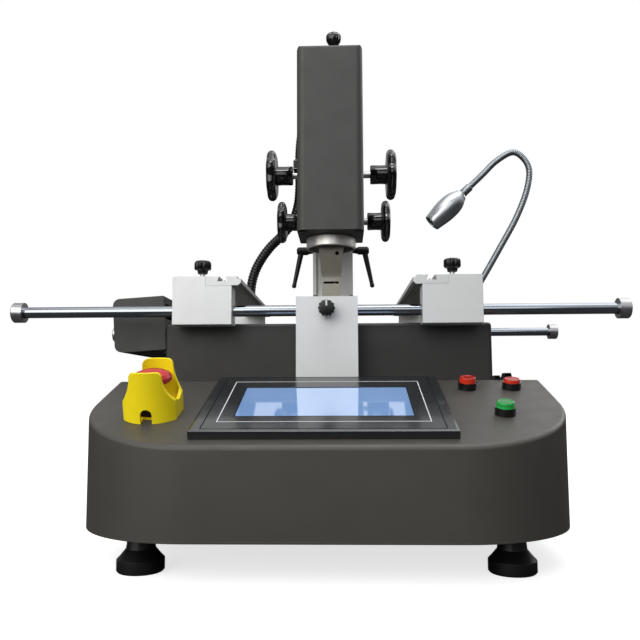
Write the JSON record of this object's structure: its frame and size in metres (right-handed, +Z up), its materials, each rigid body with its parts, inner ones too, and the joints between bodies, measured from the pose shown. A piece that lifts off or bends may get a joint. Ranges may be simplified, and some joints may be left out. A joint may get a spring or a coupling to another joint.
{
  "type": "bga rework station",
  "caption": "Bench rework station with a sloped touch-screen base, preheater, sliding board clamps, racked hot-air head on a column and a gooseneck lamp.",
  "frame": {"origin": "centre of the base's footprint on the floor", "axes": "+X to the operator's right, +Y to the back, +Z up"},
  "size_m": [0.6795, 0.5746, 0.649],
  "materials": {
    "base_paint": "satin",
    "head_paint": "satin",
    "column_paint": "satin",
    "black_plastic": "matte",
    "gloss_black": "gloss",
    "foot_rubber": "matte",
    "screen_bezel": "gloss",
    "screen_glass": "gloss",
    "guard_yellow": "satin",
    "stop_red": "gloss",
    "cap_red": "gloss",
    "cap_green": "gloss",
    "aluminium": "satin",
    "steel": "brushed",
    "bright_rod": "gloss",
    "nozzle_steel": "satin",
    "tile_ceramic": "matte",
    "board_green": "satin"
  },
  "bodies": {
    "base": {"base_shell": "base_paint", "base_plate": "base_paint", "rear_panel": "base_paint", "levelling_feet": "foot_rubber", "hmi_panel": "screen_bezel", "hmi_screen": "screen_glass", "estop_guard": "guard_yellow", "estop_base": "black_plastic", "button_bezels": "black_plastic", "sensor_sockets": "black_plastic", "preheater_box": "head_paint", "reflector_tray": "steel", "ir_heaters": "tile_ceramic", "preheater_grille": "steel", "lower_heater": "steel", "lower_nozzle": "nozzle_steel", "lower_blower": "black_plastic", "rod_posts": "aluminium", "fan_housing": "head_paint", "column": "column_paint", "column_rails": "steel", "gooseneck": "steel", "lamp_head": "aluminium", "hose_gland": "black_plastic", "power_supply": "aluminium", "control_board": "board_green", "power_inlet": "black_plastic"},
    "estop_stem": {"estop_plunger": "black_plastic"},
    "estop_head": {"estop_mushroom": "stop_red"},
    "start_cap": {"start_button": "cap_green"},
    "stop_cap": {"stop_button": "cap_red"},
    "light_cap": {"light_button": "cap_red"},
    "table": {"guide_rods": "bright_rod", "rod_caps": "steel"},
    "left_carriage": {"left_blocks": "aluminium", "left_bar": "aluminium"},
    "right_carriage": {"right_blocks": "aluminium", "right_bar": "aluminium"},
    "left_lock": {"left_lock_knob": "gloss_black"},
    "right_lock": {"right_lock_knob": "gloss_black"},
    "post_lock": {"post_knob": "gloss_black"},
    "fan": {"fan_rotor": "aluminium"},
    "lift": {"lift_block": "column_paint", "slide_beam": "aluminium"},
    "upper_drive": {"upper_shaft": "steel", "upper_wheels": "gloss_black"},
    "head": {"head_cover": "head_paint", "head_chassis": "head_paint", "head_blower": "black_plastic", "head_heater": "steel", "slide_block": "aluminium"},
    "lower_drive": {"lower_shaft": "steel", "lower_wheels": "gloss_black"},
    "hot_nozzle": {"nozzle_ring": "steel", "nozzle": "nozzle_steel"},
    "pickup": {"pickup_tube": "steel"},
    "pickup_grip": {"pickup_knob": "gloss_black"},
    "left_clamp": {"left_lever": "gloss_black"},
    "right_clamp": {"right_lever": "gloss_black"},
    "rocker": {"mains_switch": "black_plastic"}
  },
  "joints": [
    {"name": "estop_push", "type": "slide", "parent": "base", "child": "estop_stem", "axis": [0, 0.2924, -0.9563], "range_m": [0, 0.004]},
    {"name": "estop_twist", "type": "hinge", "parent": "estop_stem", "child": "estop_head", "pos_m": [-0.158, -0.20854, 0.13668], "axis": [0, -0.2924, 0.9563], "range_deg": [-45, 0], "stiffness_Nm_per_rad": 0.2},
    {"name": "start_push", "type": "slide", "parent": "base", "child": "start_cap", "axis": [0, 0.2924, -0.9563], "range_m": [0, 0.003], "stiffness_N_per_m": 400},
    {"name": "stop_push", "type": "slide", "parent": "base", "child": "stop_cap", "axis": [0, 0.2924, -0.9563], "range_m": [0, 0.003], "stiffness_N_per_m": 400},
    {"name": "light_push", "type": "slide", "parent": "base", "child": "light_cap", "axis": [0, 0.2924, -0.9563], "range_m": [0, 0.003], "stiffness_N_per_m": 400},
    {"name": "table_slide", "type": "slide", "parent": "base", "child": "table", "axis": [1, 0, 0], "range_m": [-0.02, 0.02]},
    {"name": "left_carriage_slide", "type": "slide", "parent": "table", "child": "left_carriage", "axis": [1, 0, 0], "range_m": [-0.145, 0.04]},
    {"name": "right_carriage_slide", "type": "slide", "parent": "table", "child": "right_carriage", "axis": [1, 0, 0], "range_m": [-0.04, 0.145]},
    {"name": "left_lock_turn", "type": "hinge", "parent": "left_carriage", "child": "left_lock", "pos_m": [-0.136, -0.10021, 0.24397], "axis": [0, 0, 1], "range_deg": [0, 360]},
    {"name": "right_lock_turn", "type": "hinge", "parent": "right_carriage", "child": "right_lock", "pos_m": [0.136, -0.10021, 0.24397], "axis": [0, 0, 1], "range_deg": [0, 360]},
    {"name": "post_lock_turn", "type": "hinge", "parent": "base", "child": "post_lock", "pos_m": [0, -0.10021, 0.24397], "axis": [0, -1, 0], "range_deg": [0, 360]},
    {"name": "fan_spin", "type": "hinge", "parent": "base", "child": "fan", "pos_m": [-0.219, 0.04578, 0.23434], "axis": [0, 1, 0], "continuous": true},
    {"name": "lift_slide", "type": "slide", "parent": "base", "child": "lift", "axis": [0, 0, 1], "range_m": [-0.006, 0.06]},
    {"name": "upper_wheel_turn", "type": "hinge", "parent": "lift", "child": "upper_drive", "pos_m": [0.002, 0.203, 0.48697], "axis": [1, 0, 0], "range_deg": [-400, 60]},
    {"name": "head_slide", "type": "slide", "parent": "lift", "child": "head", "axis": [0, 1, 0], "range_m": [-0.025, 0.01]},
    {"name": "lower_wheel_turn", "type": "hinge", "parent": "head", "child": "lower_drive", "pos_m": [0.002, 0.14, 0.39897], "axis": [1, 0, 0], "range_deg": [-170, 75]},
    {"name": "nozzle_turn", "type": "hinge", "parent": "head", "child": "hot_nozzle", "pos_m": [0.002, 0.076, 0.36097], "axis": [0, 0, 1], "continuous": true},
    {"name": "pickup_lift", "type": "slide", "parent": "head", "child": "pickup", "axis": [0, 0, 1], "range_m": [-0.008, 0.015]},
    {"name": "pickup_turn", "type": "hinge", "parent": "pickup", "child": "pickup_grip", "pos_m": [0.007, 0.076, 0.62997], "axis": [0, 0, 1], "continuous": true},
    {"name": "left_lever_turn", "type": "hinge", "parent": "lift", "child": "left_clamp", "pos_m": [-0.028, 0.238, 0.37597], "axis": [1, 0, 0], "range_deg": [-60, 60]},
    {"name": "right_lever_turn", "type": "hinge", "parent": "lift", "child": "right_clamp", "pos_m": [0.032, 0.238, 0.37597], "axis": [1, 0, 0], "range_deg": [-60, 60]},
    {"name": "mains_rock", "type": "hinge", "parent": "base", "child": "rocker", "pos_m": [0.1625, 0.283, 0.083], "axis": [1, 0, 0], "range_deg": [0, 12]}
  ],
  "couplings": [
    {"joint": "upper_wheel_turn", "follows": "lift_slide", "rad_per_m": -111.11},
    {"joint": "lower_wheel_turn", "follows": "head_slide", "rad_per_m": 111.11}
  ]
}
